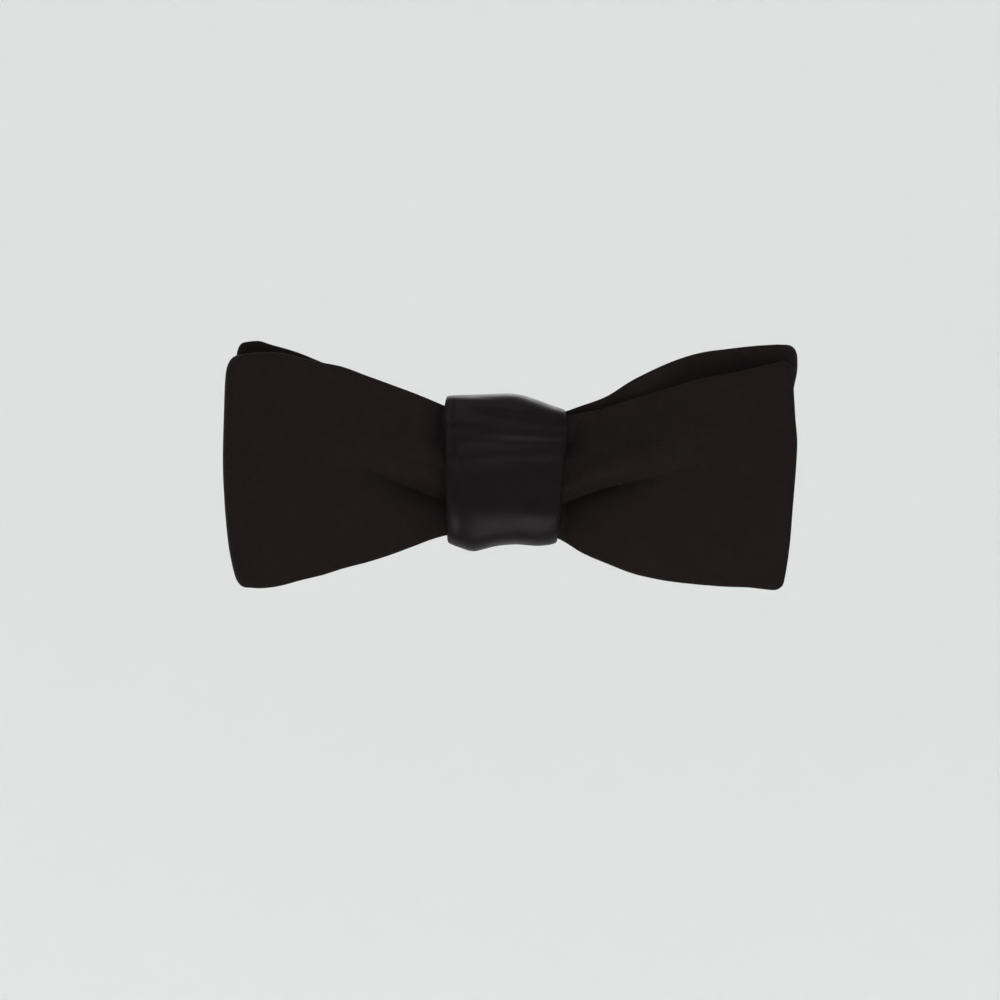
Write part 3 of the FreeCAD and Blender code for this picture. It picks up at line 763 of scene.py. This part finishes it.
def nickel(name):
    """Polished nickel plate with fine scuffs and a duller bloom in places."""
    tree = Tree(name)
    where = object_place(tree)
    scuffs = tree.noise(tree.stretch(where, (1.0, 1.0, 14.0)), 900.0, 4.0, 0.7)
    bloom = tree.noise(where, 260.0, 3.0, 0.6)
    colour = tree.blend(tree.spread(bloom, 0.42, 0.7), (0.62, 0.60, 0.57, 1), (0.50, 0.47, 0.43, 1))
    dull = tree.spread(bloom, 0.35, 0.7, 0.16, 0.34)
    rough = tree.maths("ADD", dull, tree.spread(scuffs, 0.45, 0.75, 0.0, 0.14))
    tree.set(Base_Color=colour, Metallic=1.0, Roughness=rough, Normal=tree.bump(scuffs, 0.25, 0.00003))
    return tree.material


def thread_material(name):
    tree = Tree(name)
    where = object_place(tree)
    fuzz = tree.noise(where, 5200.0, 4.0, 0.7)
    colour = tree.blend(tree.spread(fuzz, 0.35, 0.7), (0.008, 0.0065, 0.007, 1), (0.035, 0.029, 0.031, 1))
    tree.set(Base_Color=colour, Roughness=tree.spread(fuzz, 0.3, 0.7, 0.45, 0.65))
    tree.set(Normal=tree.bump(fuzz, 0.5, 0.00004))
    tree.set(Sheen_Weight=0.3, Specular_IOR_Level=0.5)
    return tree.material


def wear(piece, material):
    piece.data.materials.clear()
    piece.data.materials.append(material)


# ---- the tie ----
def three_layers(strap_name):
    """The CAD nodes that a strap's cloth stands for."""
    return [f"{strap_name}_{layer}" for layer in ("outer_panel", "interlining", "inner_panel")]


def soft_piece(piece, material, stands_for):
    wear(piece, material)
    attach(piece, "bow_and_band")
    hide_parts(*stands_for)


def cloth_pieces():
    bow_silk = silk(
        "bow_silk",
        deep=(0.0024, 0.0014, 0.0015),
        light=(0.0140, 0.0092, 0.0092),
        warm=(0.0080, 0.0048, 0.0056),
        roughness=0.8,
        sheen=0.03,
    )
    knot_silk = silk(
        "knot_silk",
        deep=(0.0026, 0.0016, 0.0018),
        light=(0.0085, 0.0052, 0.0058),
        warm=(0.0058, 0.0036, 0.0042),
        roughness=0.36,
        sheen=0.01,
        satin=0.01,
    )
    band_silk = silk(
        "band_silk",
        deep=(0.0034, 0.0023, 0.0025),
        light=(0.011, 0.0072, 0.0077),
        warm=(0.0078, 0.0050, 0.0056),
        roughness=0.74,
        sheen=0.03,
    )
    made = bands_and_tapes()
    for name, piece, length, area in (
        ("front_bow", front_bow(), 192, 0.0074),
        ("rear_bow", rear_bow(), 190, 0.0073),
    ):
        stands_for = three_layers(name)
        soft_piece(piece, bow_silk, stands_for)
    soft_piece(knot(), knot_silk, three_layers("knot"))
    for name, length, other in (("left_band", 185, "right_band"), ("right_band", 94, "left_band")):
        soft_piece(made[name], band_silk, three_layers(name))
    tape = ribbed_tape("tape")
    for name, length, metal in (("tape_adjuster", 212, ["hook", "slider"]), ("tape_eye", 45, ["eye"])):
        soft_piece(made[name], tape, [name])
    satin = satin_label("label")
    soft_piece(made["label"], satin, ["label"])


def thread_pieces():
    """Bar tacks and the label's stitches, in the places of the CAD's."""
    outside = NECK + STRAP
    tail = NECK + TAPE / 2 + 2 * BAR_TURN + 2 * FOLD_TURN
    label_ends = [(a, z) for a in (-117.2, -98.8) for z in (-5.0, -2.5, 0.0, 2.5, 5.0)]
    threads = {
        "adjuster_bar_tack": tack(outside + 0.1, 73.0, 0.8),
        "eye_bar_tack": tack(outside + TAPE_LIFT + TAPE + 0.1, -156.0, 0.8),
        "tail_bar_tack": tack(tail + 0.5, 91.2, 0.8),
        "label_stitches": [(outside + 0.42, a, z, True) for a, z in label_ends],
    }
    thread = thread_material("thread")
    for node, places in threads.items():
        piece = stitches(f"{node}_thread", places)
        wear(piece, thread)
        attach(piece, "bow_and_band")
        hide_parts(node)


def fittings():
    metal = nickel("nickel")
    for node in ("slider", "hook", "eye"):
        wear(nodes[node], metal)


set_stage()
cloth_pieces()
thread_pieces()
fittings()
bpy.context.view_layer.update()
